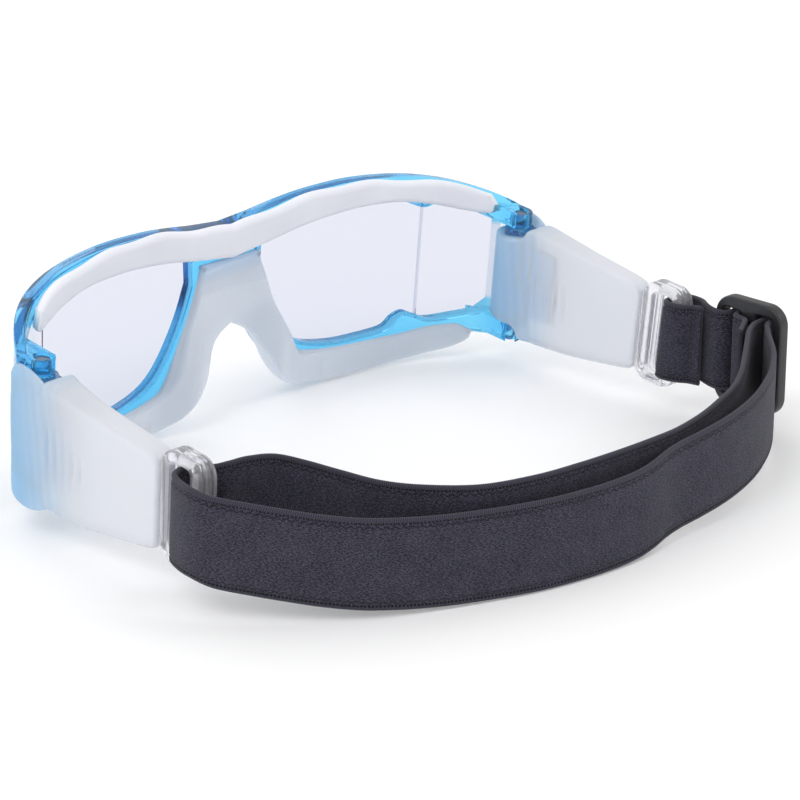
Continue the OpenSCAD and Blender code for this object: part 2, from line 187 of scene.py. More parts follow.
# Each stretch: name, first and last place on the route, the bodies, and where a bend starts and ends
STRAP_STRETCHES = [
    ("strap_folded_end", 0, 11, ["slider"], None),
    ("strap_inner_slide", 11, 14, ["slider", "right_arm"], ((-66, 106.4), (-49, 118.5))),
    ("strap_inner_right", 14, 21, ["right_arm", "frame"], ((-46, 118), (9, 126))),
    ("strap_inner_left", 21, 31, ["frame", "left_arm"], ((12, 128), (62, 86))),
    ("strap_ring_turn_left", 31, 38, ["left_arm"], None),
    ("strap_outer_left", 38, 48, ["left_arm", "frame"], ((74, 90), (12, 131))),
    ("strap_outer_right", 48, 57, ["frame", "right_arm"], ((6, 132), (-45, 126))),
    ("strap_outer_slide", 57, 61, ["right_arm", "slider"], ((-49, 125.5), (-69, 109))),
    ("strap_slider_weave", 61, 70, ["slider"], None),
    ("strap_pay_out", 70, 72, ["slider", "right_arm"], ((-70.9, 91.9), (-72.8, 87))),
    ("strap_sewn_tail", 72, 82, ["right_arm"], None)]
LEAN_FULL_Y, LEAN_END_Y = 85.0, 91.0
TACK_CROSSINGS, TACK_INSET, TACK_REACH, TACK_OUT, THREAD_R = 27, 1.9, 0.55, 0.66, 0.17
HEM_R, SEAM_IN, SEAM_SINK, KNIT_RISE, KNIT_RUN = 0.6, 1.15, 0.17, 0.2, 0.8
HEM_W, HOLES_IN, HOLES_HALF_W, HOLE_PITCH = 0.78, 1.02, 0.22, 0.74
ZIGZAG_IN, ZIGZAG_STEP, ZIGZAG_HALF_W, TWIST_PITCH = 1.55, 0.85, 0.16, 0.42


def smooth_open(points, per_span):
    """A smooth line through the points, with per_span steps from each to the next."""
    p = np.array(points, float)
    out = []
    for i in range(len(p) - 1):
        a, b, c, d = p[max(i - 1, 0)], p[i], p[i + 1], p[min(i + 2, len(p) - 1)]
        for k in range(per_span):
            t = k / per_span
            out.append(0.5 * (2 * b + (c - a) * t + (2 * a - 5 * b + 4 * c - d) * t * t
                              + (3 * b - a - 3 * c + d) * t ** 3))
    out.append(p[-1])
    return np.array(out)


def outline(*runs, steps=6):
    return np.vstack([smooth_open(run, steps) if smooth else np.array(run, float)
                      for run, smooth in runs])


def both_halves(half):
    """A closed outline from its half on the +X side, from the top middle round to the bottom middle."""
    mirrored = [(-x, z) for x, z in half[::-1] if abs(x) > 1e-6]
    return np.array(list(map(tuple, half)) + mirrored)


def rounded_rect(a, b, r, steps=8):
    """A closed outline with round corners between a = (low, high) and b = (low, high)."""
    out = []
    for ca, cb, start in ((a[1] - r, b[1] - r, 0), (a[0] + r, b[1] - r, 90),
                          (a[0] + r, b[0] + r, 180), (a[1] - r, b[0] + r, 270)):
        for k in range(steps + 1):
            angle = math.radians(start + 90 * k / steps)
            out.append((ca + r * math.cos(angle), cb + r * math.sin(angle)))
    return np.array(out)


# ---------------------------------------------------------------- mesh tools
def area_of(loop):
    x, y = loop[:, 0], loop[:, 1]
    return 0.5 * float(np.dot(x, np.roll(y, -1)) - np.dot(y, np.roll(x, -1)))


def inward(loop):
    """Unit normals into the material, for an outer loop run anticlockwise or a hole clockwise."""
    d = np.roll(loop, -1, 0) - np.roll(loop, 1, 0)
    d /= np.linalg.norm(d, axis=1)[:, None]
    return np.stack([-d[:, 1], d[:, 0]], 1)


def offset(loop, distance):
    """The loop moved outward by the distance."""
    loop = loop if area_of(loop) > 0 else loop[::-1]
    return loop - inward(loop) * distance


def cut_to(loop, low, high):
    """A convex-ended loop cut off at two distances out."""
    for side, sign in ((low, 1), (high, -1)):
        out = []
        for p, q in zip(loop, np.roll(loop, -1, 0)):
            inside_p, inside_q = sign * (p[0] - side) >= 0, sign * (q[0] - side) >= 0
            if inside_p:
                out.append(p)
            if inside_p != inside_q:
                out.append(p + (q - p) * (side - p[0]) / (q[0] - p[0]))
        loop = np.array(out)
    return loop


def round_profile(radius, thickness, steps=5):
    """Edge profile [inset, share of the depth] with both edges rounded."""
    low = [(radius * (1 - math.sin(a)), radius * (1 - math.cos(a)) / thickness)
           for a in (math.pi / 2 * k / steps for k in range(steps + 1))]
    return low + [(i, 1 - u) for i, u in reversed(low)]


def slab(name, loops, profile, thickness, place, cuts_a=(), cuts_b=(), sharp=40):
    """A plate cut to the outlines, the first of them the outer one, with a shaped edge.
    place takes the two plan coordinates and the share of the depth, and gives a point in metres."""
    oriented = [loop if area_of(loop) * (1 if i == 0 else -1) > 0 else loop[::-1]
                for i, loop in enumerate(loops)]
    bm = bmesh.new()
    grids = []
    for loop in oriented:
        normal = inward(loop)
        grids.append([[bm.verts.new((*(p + n * inset), u * thickness))
                       for p, n in zip(loop, normal)] for inset, u in profile])
    for rows in grids:
        count = len(rows[0])
        for low, high in zip(rows[:-1], rows[1:]):
            for k in range(count):
                bm.faces.new((low[k], low[(k + 1) % count], high[(k + 1) % count], high[k]))
    for row in (0, -1):
        flat = [v for rows in grids for v in rows[row]]
        loops_3d = [[Vector((v.co.x, v.co.y, 0)) for v in rows[row]] for rows in grids]
        for tri in tessellate_polygon(loops_3d):
            bm.faces.new([flat[i] for i in tri])
    for axis, cuts in ((0, cuts_a), (1, cuts_b)):
        for at in cuts:
            point, normal = [0, 0, 0], [0, 0, 0]
            point[axis], normal[axis] = at, 1
            bmesh.ops.bisect_plane(bm, geom=bm.verts[:] + bm.edges[:] + bm.faces[:],
                                   plane_co=point, plane_no=normal, dist=1e-4)
    for v in bm.verts:
        v.co = place(v.co.x, v.co.y, v.co.z / thickness)
    bmesh.ops.triangulate(bm, faces=[f for f in bm.faces if len(f.verts) > 4])
    return finish_mesh(name, bm, sharp)


def tube(name, points, radius, sides=8):
    """A round thread through the points, which are in metres."""
    bm = bmesh.new()
    rings = []
    for i, p in enumerate(points):
        along = (points[min(i + 1, len(points) - 1)] - points[max(i - 1, 0)]).normalized()
        side = along.orthogonal().normalized() if i == 0 else (side - along * side.dot(along)).normalized()
        other = along.cross(side)
        rings.append([bm.verts.new(p + (side * math.cos(a) + other * math.sin(a)) * radius)
                      for a in (math.tau * k / sides for k in range(sides))])
    for low, high in zip(rings[:-1], rings[1:]):
        for k in range(sides):
            bm.faces.new((low[k], low[(k + 1) % sides], high[(k + 1) % sides], high[k]))
    bm.faces.new(rings[0][::-1])
    bm.faces.new(rings[-1])
    return finish_mesh(name, bm, 60)


def finish_mesh(name, bm, sharp=40):
    bmesh.ops.remove_doubles(bm, verts=bm.verts[:], dist=1e-7)
    bmesh.ops.recalc_face_normals(bm, faces=bm.faces[:])
    mesh = bpy.data.meshes.new(name)
    bm.to_mesh(mesh)
    bm.free()
    return new_object(name, mesh, sharp)


def new_object(name, mesh, sharp=40):
    mesh.shade_smooth()
    mesh.set_sharp_from_angle(angle=math.radians(sharp))
    obj = bpy.data.objects.new(name, mesh)
    bpy.context.scene.collection.objects.link(obj)
    return obj


def join(base, extra):
    """The union of two pieces, as one mesh."""
    fuse = base.modifiers.new("join", "BOOLEAN")
    fuse.operation = "UNION"
    fuse.solver = "EXACT"
    fuse.object = extra
    graph = bpy.context.evaluated_depsgraph_get()
    mesh = bpy.data.meshes.new_from_object(base.evaluated_get(graph))
    base.modifiers.clear()
    base.data = mesh
    bpy.data.objects.remove(extra)
    mesh.shade_smooth()
    mesh.set_sharp_from_angle(angle=math.radians(40))


def piece(obj, material, bodies, nodes, bend=None):
    """Paints a piece, hides the CAD nodes it stands for, and ties it to the first of its bodies; a piece
    with a bend is only baked in place.
    """
    obj.data.materials.clear()
    obj.data.materials.append(material)
    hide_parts(*nodes)
    if bend:
        start, end = (table(x, y, STRAP_W) for x, y in bend)
        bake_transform(obj)
    else:
        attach(obj, bodies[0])
    return obj


# ---------------------------------------------------------------- materials
class Nodes:
    """Adds nodes to one material and links them."""

    def __init__(self, name):
        self.material = bpy.data.materials.new(name)
        self.material.use_nodes = True
        self.tree = self.material.node_tree
        self.shader = self.tree.nodes["Principled BSDF"]

    def add(self, kind, inputs=None, **settings):
        node = self.tree.nodes.new(kind)
        for key, value in settings.items():
            setattr(node, key, value)
        for key, value in (inputs or {}).items():
            self.feed(node.inputs[key], value)
        return node

    def feed(self, socket, value):
        if isinstance(value, bpy.types.NodeSocket):
            self.tree.links.new(value, socket)
        else:
            socket.default_value = value

    def set(self, **values):
        for key, value in values.items():
            self.feed(self.shader.inputs[key.replace("_", " ")], value)

    def place(self, uv=False):
        return self.add("ShaderNodeTexCoord").outputs["UV" if uv else "Object"]

    def noise(self, vector, scale, detail=2.0, roughness=0.5):
        return self.add("ShaderNodeTexNoise", {"Vector": vector, "Scale": scale, "Detail": detail,
                                               "Roughness": roughness}).outputs["Fac"]

    def ramp(self, value, low, high, colour_low, colour_high):
        ramp = self.add("ShaderNodeValToRGB", {"Fac": value})
        ramp.color_ramp.elements[0].position = low
        ramp.color_ramp.elements[1].position = high
        ramp.color_ramp.elements[0].color = (*colour_low, 1)
        ramp.color_ramp.elements[1].color = (*colour_high, 1)
        return ramp.outputs["Color"]

    def mix(self, factor, a, b):
        node = self.add("ShaderNodeMix", data_type="RGBA")
        self.feed(node.inputs["Factor"], factor)
        for socket, value in ((node.inputs[6], a), (node.inputs[7], b)):
            self.feed(socket, value if isinstance(value, bpy.types.NodeSocket) else (*value, 1))
        return node.outputs[2]

    def span(self, value, low, high, to_low=0.0, to_high=1.0):
        return self.add("ShaderNodeMapRange", {"Value": value, "From Min": low, "From Max": high,
                                               "To Min": to_low, "To Max": to_high}).outputs["Result"]

    def math(self, operation, *values):
        node = self.add("ShaderNodeMath", operation=operation)
        for socket, value in zip(node.inputs, values):
            self.feed(socket, value)
        return node.outputs[0]

    def bump(self, height, strength, distance):
        node = self.add("ShaderNodeBump", {"Height": height, "Strength": strength,
                                           "Distance": distance})
        self.feed(self.shader.inputs["Normal"], node.outputs["Normal"])


def clear_plastic(name, colour, roughness=0.02, ior=1.5, wave=0.0, clear=1.0):
    """Polished see-through plastic with a faint flow ripple."""
    n = Nodes(name)
    n.set(Base_Color=(*colour, 1), Roughness=roughness, IOR=ior, Transmission_Weight=clear)
    if wave:
        n.bump(n.noise(n.place(), 90.0, 1.0), wave, 0.0004)
    return n.material


def rim_plastic():
    """Clear blue plastic; painted light whitens the slim end bars, where the frosted arms lie against it,
    to brighten their shade.
    """
    n = Nodes("clear_blue")
    where = n.place()
    parts = n.add("ShaderNodeSeparateXYZ", {"Vector": where})
    out = n.math("ABSOLUTE", n.math("SUBTRACT", parts.outputs["X"], worn(0, 0, 0)[0]))
    low, high = (worn(0, bow(END_BAR_X), z)[2] for z in (LUG_GAP_Z[0] + 2.5, LUG_GAP_Z[1] - 1.5))
    beside = n.math("MULTIPLY", n.span(parts.outputs["Z"], low, low + 0.0012),
                    n.span(parts.outputs["Z"], high, high - 0.0012))
    # Painted light: near-white colour on the end bars, lifting the shade they render in
    whitish = n.math("MULTIPLY", beside, n.span(out, (EYE_END_X - 0.6) * MM, EYE_END_X * MM))
    n.set(Base_Color=n.mix(whitish, (0.27, 0.78, 1.0), (0.94, 0.96, 0.99)), IOR=1.3,
          Roughness=n.span(whitish, 0.0, 1.0, 0.03, 0.25), Transmission_Weight=0.93)
    n.bump(n.noise(where, 90.0, 1.0), 0.05, 0.0004)
    volume = n.add("ShaderNodeVolumeAbsorption", {"Color": (0.03, 0.64, 0.99, 1), "Density": 105.0})
    n.tree.links.new(volume.outputs[0], n.tree.nodes["Material Output"].inputs["Volume"])
    return n.material


def brow_skin():
    """Matte white pad with a fine grain and soft mottling."""
    n = Nodes("white_brow_skin")
    where = n.place()
    tone = n.noise(where, 60.0, 3.0)
    n.set(Base_Color=n.ramp(tone, 0.3, 0.7, (0.76, 0.77, 0.83), (0.82, 0.83, 0.89)),
          Subsurface_Weight=0.2, Subsurface_Radius=(1.0, 0.95, 0.9), Subsurface_Scale=0.002,
          Roughness=0.62)
    n.bump(n.math("ADD", n.noise(where, 2600.0, 2.0), n.noise(where, 240.0, 2.0)), 0.18, 0.0001)
    return n.material


def milky_silicone():
    """Milky translucent silicone, bluer at the bridge where it is thin over the blue rim."""
    n = Nodes("milky_silicone")
    where = n.place()
    height = n.add("ShaderNodeSeparateXYZ", {"Vector": where}).outputs["Z"]
    tone = n.noise(where, 45.0, 3.0)
    whitish = n.ramp(tone, 0.3, 0.7, (0.62, 0.68, 0.76), (0.69, 0.74, 0.81))
    n.set(Base_Color=n.mix(n.span(height, 0.034, 0.040), whitish, (0.42, 0.605, 0.83)),
          Subsurface_Weight=0.35, Subsurface_Radius=(1.0, 0.95, 0.9), Subsurface_Scale=0.003,
          Roughness=0.34, Transmission_Weight=0.16, IOR=1.41)
    n.bump(n.noise(where, 1800.0, 2.0), 0.08, 0.0001)
    return n.material


def arm_silicone():
    """Frosted silicone, bluer at the hinge where the insert shows through."""
    n = Nodes("frosted_silicone")
    where = n.place()
    parts = n.add("ShaderNodeSeparateXYZ", {"Vector": where})
    mottle = n.noise(where, 70.0, 2.0)
    depth = n.math("ADD", parts.outputs["Y"], n.math("MULTIPLY", mottle, 0.004))
    wavy = n.math("MULTIPLY_ADD", mottle, 0.0012, parts.outputs["Y"])
    stripes = n.math("SINE", n.math("MULTIPLY", wavy, math.tau / 0.0027))
    fade = n.span(depth, -0.036, -0.019)
    swing = n.math("MULTIPLY", n.math("MULTIPLY", fade, n.math("SUBTRACT", 1.0, fade)), 0.3)
    fade = n.math("MULTIPLY_ADD", stripes, swing, fade)
    tint = n.ramp(fade, 0.0, 1.0, (0.42, 0.71, 1.0), (0.89, 0.91, 0.97))
    n.set(Base_Color=tint, Roughness=0.42, IOR=1.41, Transmission_Weight=0.4,
          Subsurface_Weight=0.35, Subsurface_Radius=(1.0, 0.95, 0.9), Subsurface_Scale=0.004)
    n.bump(n.noise(where, 1500.0, 2.0), 0.10, 0.0001)
    return n.material


def webbing():
    """Knitted elastic: slanted stitches, twisted edges, needle holes and a zigzag seam beside them."""
    n = Nodes("elastic_webbing")
    uv = n.place(uv=True)
    parts = n.add("ShaderNodeSeparateXYZ", {"Vector": uv})
    along, across = parts.outputs["X"], parts.outputs["Y"]

    def loops(angle, scale):
        turned = n.add("ShaderNodeMapping", {"Vector": uv, "Rotation": (0, 0, math.radians(angle)),
                                             "Scale": scale})
        return n.noise(turned.outputs["Vector"], 1.0, 1.0)

    stitches = n.math("MAXIMUM", loops(36, (1.9, 4.6, 1)), loops(-36, (1.9, 4.6, 1)))
    speck = n.noise(uv, 4.4, 2.0, 0.6)
    mottle = n.noise(uv, 0.22, 3.0, 0.6)
    knit = n.math("MULTIPLY_ADD", n.math("SUBTRACT", speck, 0.5), 0.55, stitches)
    knit = n.math("MULTIPLY_ADD", n.math("SUBTRACT", mottle, 0.5), 0.16, knit)
    from_edge = n.math("MINIMUM", across, n.math("SUBTRACT", STRAP_W, across))
    hem = n.math("LESS_THAN", from_edge, HEM_W)
    slanted = n.math("MULTIPLY_ADD", from_edge, 0.35, along)
    twist = n.math("SINE", n.math("MULTIPLY", slanted, math.tau / TWIST_PITCH))
    cord = n.math("MULTIPLY_ADD", twist, 0.5, 0.5)
    cord = n.math("MULTIPLY_ADD", n.math("SUBTRACT", speck, 0.5), 0.9, cord)
    beside = n.math("COMPARE", from_edge, HOLES_IN, HOLES_HALF_W)
    needle = n.math("SINE", n.math("MULTIPLY", along, math.tau / HOLE_PITCH))
    hole = n.math("MULTIPLY", beside, n.math("GREATER_THAN", needle, -0.3))
    turn = n.math("MULTIPLY_ADD", n.math("PINGPONG", along, ZIGZAG_STEP), 0.6, ZIGZAG_IN)
    zigzag = n.math("MULTIPLY", n.math("COMPARE", from_edge, turn, ZIGZAG_HALF_W), 0.7)
    flat_tone = n.ramp(knit, 0.42, 0.80, (0.011, 0.0105, 0.0165), (0.092, 0.089, 0.128))
    hem_tone = n.ramp(cord, 0.0, 1.0, (0.024, 0.023, 0.034), (0.066, 0.063, 0.088))
    stitched = n.math("MAXIMUM", hole, zigzag)
    tone = n.mix(stitched, n.mix(hem, flat_tone, hem_tone), (0.008, 0.0075, 0.012))
    height = n.math("SUBTRACT", n.math("ADD", n.math("MULTIPLY", knit, n.math("SUBTRACT", 1.0, hem)),
                                       n.math("MULTIPLY", n.math("MULTIPLY", cord, 0.4), hem)), stitched)
    n.set(Base_Color=tone, Roughness=0.9, Sheen_Weight=0.12, Sheen_Roughness=0.5)
    n.shader.inputs["Specular IOR Level"].default_value = 0.15
    n.bump(height, 0.7, 0.0003)
    return n.material


def black_moulding():
    n = Nodes("black_moulding")
    where = n.place()
    wear = n.noise(where, 300.0, 4.0)
    n.set(Base_Color=n.ramp(wear, 0.3, 0.8, (0.014, 0.014, 0.016), (0.026, 0.025, 0.030)),
          Roughness=n.span(wear, 0.0, 1.0, 0.34, 0.5))
    n.bump(n.noise(where, 3200.0, 2.0), 0.15, 0.00008)
    return n.material


def thread_finish():
    n = Nodes("dark_thread")
    twist = n.add("ShaderNodeTexWave", {"Vector": n.place(), "Scale": 900.0, "Distortion": 1.0})
    n.set(Base_Color=n.ramp(twist.outputs["Fac"], 0.2, 0.8, (0.02, 0.019, 0.028), (0.06, 0.058, 0.08)),
          Roughness=0.85)
    n.bump(twist.outputs["Fac"], 0.4, 0.0001)
    return n.material


MAT_BLUE = rim_plastic()
MAT_CORE = clear_plastic("clear_blue_insert", (0.30, 0.62, 0.97), 0.08, 1.5, 0.05)
MAT_LENS = clear_plastic("clear_lens", (0.74, 0.76, 0.84), 0.0, 1.12)
MAT_RING = clear_plastic("clear_ring", (0.95, 0.95, 0.99), 0.17, 1.38, 0.0, clear=0.86)
MAT_PIN = clear_plastic("clear_pin", (0.92, 0.95, 0.99), 0.2, 1.45)
MAT_BROW = brow_skin()
MAT_NOSE = milky_silicone()
MAT_ARM = arm_silicone()
MAT_STRAP = webbing()
MAT_BLACK = black_moulding()
MAT_THREAD = thread_finish()


# ---------------------------------------------------------------- camera, light and floor
def add_camera():
    """The photo's view: the camera stands behind the wearer's left shoulder and looks down."""
    place, aim = table(*CAMERA_PLACE), table(*CAMERA_AIM)
    upright = Vector((0, math.sin(TABLE_PITCH), math.cos(TABLE_PITCH)))
    back = (place - aim).normalized()
    level = upright.cross(back).normalized()
    up = back.cross(level) * math.cos(CAMERA_ROLL) + level * math.sin(CAMERA_ROLL)
    right = up.cross(back)
    data = bpy.data.cameras.new("camera")
    data.lens = CAMERA_LENS
    data.sensor_width = 36.0
    data.clip_start = 0.01
    camera = bpy.data.objects.new("camera", data)
    camera.matrix_world = Matrix.Translation(place) @ Matrix((right, up, back)).transposed().to_4x4()
    bpy.context.scene.collection.objects.link(camera)
    bpy.context.scene.camera = camera


def add_light(name, place, size, power):
    data = bpy.data.lights.new(name, "AREA")
    data.shape = "DISK"
    data.size = size
    data.energy = power
    light = bpy.data.objects.new(name, data)
    light.location = place
    light.rotation_euler = (-Vector(place)).to_track_quat("-Z", "Y").to_euler()
    bpy.context.scene.collection.objects.link(light)


def add_stage():
    world = bpy.data.worlds.new("studio")
    world.use_nodes = True
    background = world.node_tree.nodes["Background"]
    background.inputs["Color"].default_value = (1.0, 1.0, 1.0, 1)
    background.inputs["Strength"].default_value = 0.9
    bpy.context.scene.world = world
    bpy.context.scene.view_settings.view_transform = "Standard"
    n = Nodes("pale_floor")
    grain = n.noise(n.place(), 400.0, 2.0)
    n.set(Base_Color=n.ramp(grain, 0.0, 1.0, (0.93, 0.93, 0.935), (0.95, 0.95, 0.955)), Roughness=0.9)
    n.set(Emission_Color=(1, 1, 1, 1), Emission_Strength=0.06)
    bm = bmesh.new()
    bmesh.ops.create_grid(bm, x_segments=8, y_segments=8, size=4.0)
    floor = finish_mesh("floor", bm)
    floor.location.z = -0.0002
    floor.data.materials.append(n.material)
    add_light("key_light", (0.9, 0.2, 1.1), 0.8, 4.0)
    add_light("rim_light", (-0.9, 0.9, 0.9), 0.5, 2.0)
    add_light("front_light", (-0.4, -1.2, 0.8), 0.8, 2.0)


# ---------------------------------------------------------------- front frame, lenses and pads
X_CUTS = np.arange(-75, 75.1, 1.5)
RIM_Z_CUTS = (13.4, 13.7, 14.0, 37.4, 37.7, 38.0)
LENS_CUTS = np.arange(9, 70, 1.5)
CHEEK_Z_CUTS = np.arange(2, 38, 1.5)


def rim_back(x, z):
    """How far behind the front surface the rim ends: thin beside the arm's barrel, full elsewhere."""
    x = abs(x)
    full = min(RIM_DEPTH, RIM_END_Y - bow(x))
    low, high = LUG_GAP_Z
    beside = ease((x - THIN_FROM_X) / RIM_STEP_X)
    beside *= ease((z - low) / RIM_STEP_Z) * ease((high - z) / RIM_STEP_Z)
    return full - (full - THIN_DEPTH) * beside


def lug(sign, low, high):
    """An open socket for the hinge pin, as it stands behind the rim's end."""
    open_at, half_open = math.radians(135), math.radians(40)
    half_mouth = half_open * 0.6
    plan = [(x, bow(x) + LUG_FOOT) for x in np.linspace(HINGE[0] - LUG_R, HINGE[0] + LUG_R, 6)]
    plan += [(HINGE[0] + LUG_R * math.cos(a), HINGE[1] + LUG_R * math.sin(a))
             for a in np.linspace(0, open_at - half_mouth, 12)]
    plan += [(HINGE[0] + BORE_R * math.cos(a), HINGE[1] + BORE_R * math.sin(a))
             for a in np.linspace(open_at - half_open, open_at + half_open - math.tau, 28)]
    plan += [(HINGE[0] + LUG_R * math.cos(a), HINGE[1] + LUG_R * math.sin(a))
             for a in np.linspace(open_at + half_mouth, math.pi, 4)]
    height = high - low
    return slab("lug", [np.array(plan)], round_profile(SMALL_EDGE_R, height, 3), height,
                lambda x, y, u: worn(sign * x, y, low + height * u))


def make_front():
    half = outline((RIM_TOP, True), (RIM_NOTCH, False), (RIM_BOTTOM, True))
    eye = outline((EYE_TOP, True), (EYE_BOTTOM, True))
    rim = slab("front_rim", [both_halves(half), eye, eye * np.array([-1, 1])],
               round_profile(RIM_EDGE_R, RIM_DEPTH), RIM_DEPTH,
               lambda x, z, u: worn(x, bow(x) + rim_back(x, z) * u, z),
               X_CUTS, RIM_Z_CUTS)
    for sign in (1, -1):
        for low, high in LUGS_Z:
            join(rim, lug(sign, low, high))
    piece(rim, MAT_BLUE, ["frame"], ["front_frame"])
    blank = offset(eye, LENS_EDGE)
    for side, sign in (("left", 1), ("right", -1)):
        for name, low, high in (("lens", 8.0, SEAM_X - SEAM_GAP / 2),
                                ("side_window", SEAM_X + SEAM_GAP / 2, WINDOW_EDGE_X)):
            sheet = slab(f"clear_{name}_{side}", [cut_to(blank, low, high)],
                         round_profile(LENS_EDGE_R, LENS_T, 2), LENS_T,
                         lambda x, z, u: worn(sign * x, bow(x) + LENS_FRONT + LENS_T * u, z),
                         LENS_CUTS)
            piece(sheet, MAT_LENS, ["frame"], [f"{name}_{side}"])


def brow_point(x, z, share):
    """A place on the brow pad, whose two ends are drifted to the wearer's right."""
    drift = BROW_DRIFT * (x / BROW_END_X) ** 2
    lower = BROW_DROP * drift if x < 0 else 0.0
    x, z = x - drift, z - lower
    return worn(x, bow(x) + RIM_DEPTH + PAD_GAP + (BROW_T - PAD_GAP) * share, z)


def make_brow_pad():
    """The white brow pad, gently wavy along its upper edge."""
    half = outline((BROW_UPPER, True), (BROW_LOWER, True))
    upper = half[:, 1] > BROW_WAVE_FROM_Z
    half[upper, 1] += BROW_WAVE * np.sin(half[upper, 0] * math.tau / BROW_WAVE_LENGTH)
    pad = slab("brow_cushion", [both_halves(half)], round_profile(BROW_EDGE_R, BROW_T), BROW_T,
               brow_point, X_CUTS, sharp=80)
    piece(pad, MAT_BROW, ["frame"], ["brow_pad"])


def cheek_depth(x, z):
    """Thickness of the nose pad: thin at the bridge and swollen low down beside the nose."""
    swell = NOSE_SWELL * math.exp(-((abs(x) - NOSE_SWELL_X) / NOSE_SWELL_W) ** 2)
    swell *= ease((NOSE_SWELL_TOP_Z - z) / NOSE_SWELL_RUN)
    thin = BRIDGE_THIN * ease((z - BRIDGE_FROM_Z) / BRIDGE_RUN)
    return CHEEK_T + swell - thin


def make_nose_pad():
    half = outline((CHEEK_UPPER, True), (CHEEK_LOWER, True))
    pad = slab("nose_cushion", [both_halves(half)], round_profile(CHEEK_EDGE_R, CHEEK_T), CHEEK_T,
               lambda x, z, u: worn(x, bow(x) + RIM_DEPTH + PAD_GAP + (cheek_depth(x, z) - PAD_GAP) * u, z),
               X_CUTS, CHEEK_Z_CUTS, sharp=80)
    piece(pad, MAT_NOSE, ["frame"], ["nose_pad"])


# ---------------------------------------------------------------- arms and rings
RIB_Y = (36.6, 39.2, 41.8, 44.4, 47.0)
RIB_IN, RIB_OUT, RIB_HALF_W = 0.45, 0.4, 0.8
RIB_MID_Z, RIB_DROP, RIB_REACH, RIB_SHORTER = 25, 0.4, 12.5, 1.6
# The arm's two faces beside the ribs: [distance back, distance out]
ARM_INNER = [(28.6, 65.1), (33.4, 65.6), (38, 67.2), (46, 67.9), (70, 67.6)]
ARM_OUTER = [(28.8, SLEEVE_X), (36, SLEEVE_X), (52, 73.6), (70, 72.8)]
BARREL_TO_Y = 33
ARM_Y_CUTS, ARM_Z_CUTS = np.arange(24.5, 69.6, 0.5), np.arange(11, 40, 1.5)
SLEEVE_CUTS = np.arange(26, 41, 1.0)


def barrel(y):
    return math.sqrt(max(0.0, BARREL_R ** 2 - (y - HINGE[1]) ** 2))


def rib(y, z):
    """How far a rib stands there, as a share: each rib is shorter than the one in front of it."""
    return sum(pulse(y, at, RIB_HALF_W)
               * pulse(z, RIB_MID_Z - RIB_DROP * i, RIB_REACH - RIB_SHORTER * i)
               for i, at in enumerate(RIB_Y))


def arm_inner(y, z):
    line = np.interp(y, *zip(*ARM_INNER))
    beside_pin = HINGE[0] - barrel(y)
    if y < HINGE[1]:
        base = beside_pin
    else:
        base = min(line, beside_pin) if y < BARREL_TO_Y else line
    return base - RIB_IN * rib(y, z)


def arm_outer(y, z):
    line = np.interp(y, *zip(*ARM_OUTER))
    return line - RIB_OUT * rib(y, z)


def arm_face(y, z, share):
    return arm_inner(y, z) * (1 - share) + arm_outer(y, z) * share


def sleeve_x(y, share):
    """The sleeve wall's place out: level at the front, then sinking into the arm behind it."""
    low, high = RIM_END_X + SLEEVE_GAP, SLEEVE_X + SLEEVE_PROUD
    return low + (high - low) * share - SLEEVE_SINK * ease((y - SLEEVE_SINK_Y) / 8)


def make_arm(side, sign):
    plan = smooth_open(ARM_SIDE + ARM_SIDE[:1], 5)[:-1]
    arm = slab(f"soft_arm_{side}", [plan], round_profile(ARM_EDGE_R, ARM_T), ARM_T,
               lambda y, z, u: worn(sign * arm_face(y, z, u), y, z),
               ARM_Y_CUTS, ARM_Z_CUTS, sharp=70)
    # The outer wall of the sleeve also covers the end of the rim
    wall = smooth_open(SLEEVE_SIDE + SLEEVE_SIDE[:1], 4)[:-1]
    depth = sleeve_x(0, 1) - sleeve_x(0, 0)
    join(arm, slab("sleeve_wall", [wall], round_profile(SMALL_EDGE_R, depth, 3), depth,
                   lambda y, z, u: worn(sign * sleeve_x(y, u), y, z), SLEEVE_CUTS))
    piece(arm, MAT_ARM, [f"{side}_arm"], [f"arm_{side}"])


def ring_profile():
    """Edge of a ring, rounded at both faces, with two fine grooves round it."""
    near = [(0.95, 0.0), (0.5, 0.02), (0.22, 0.06), (0.06, 0.12), (0.0, 0.19), (0.0, 0.25),
            (0.4, 0.275), (0.4, 0.31), (0.0, 0.335), (0.0, 0.42)]
    return near + [(inset, 1 - u) for inset, u in reversed(near)]


def make_ring(side, sign):
    width = RING_X[1] - RING_X[0]
    outer, slot = rounded_rect(RING_Y, RING_Z, RING_R), rounded_rect(SLOT_Y, SLOT_Z, SLOT_R)
    ring = slab(f"clear_ring_{side}", [outer, slot], ring_profile(), width,
                lambda y, z, u: worn(sign * (RING_X[0] + width * u), y, z), sharp=35)
    piece(ring, MAT_RING, [f"{side}_arm"], [f"strap_ring_{side}"])


# ---------------------------------------------------------------- slider and strap
def make_slider():
    width = SLIDER_X[1] - SLIDER_X[0]
    middle, mid_z = sum(SLIDER_Y) / 2, sum(SLIDER_Z) / 2
    slot_z = (mid_z - SLIDER_SLOT_H / 2, mid_z + SLIDER_SLOT_H / 2)
    first = (SLIDER_Y[0] + SLIDER_END_BAR, middle - SLIDER_CENTRE_BAR / 2)
    second = (middle + SLIDER_CENTRE_BAR / 2, SLIDER_Y[1] - SLIDER_END_BAR)
    loops = [rounded_rect(SLIDER_Y, SLIDER_Z, SLIDER_R, 12),
             rounded_rect(first, slot_z, SLIDER_SLOT_R), rounded_rect(second, slot_z, SLIDER_SLOT_R)]
    slider = slab("buckle", loops, round_profile(SLIDER_EDGE_R, width), width,
                  lambda y, z, u: table(SLIDER_X[0] + width * u, y, z), sharp=50)
    piece(slider, MAT_BLACK, ["slider"], ["strap_slider"])


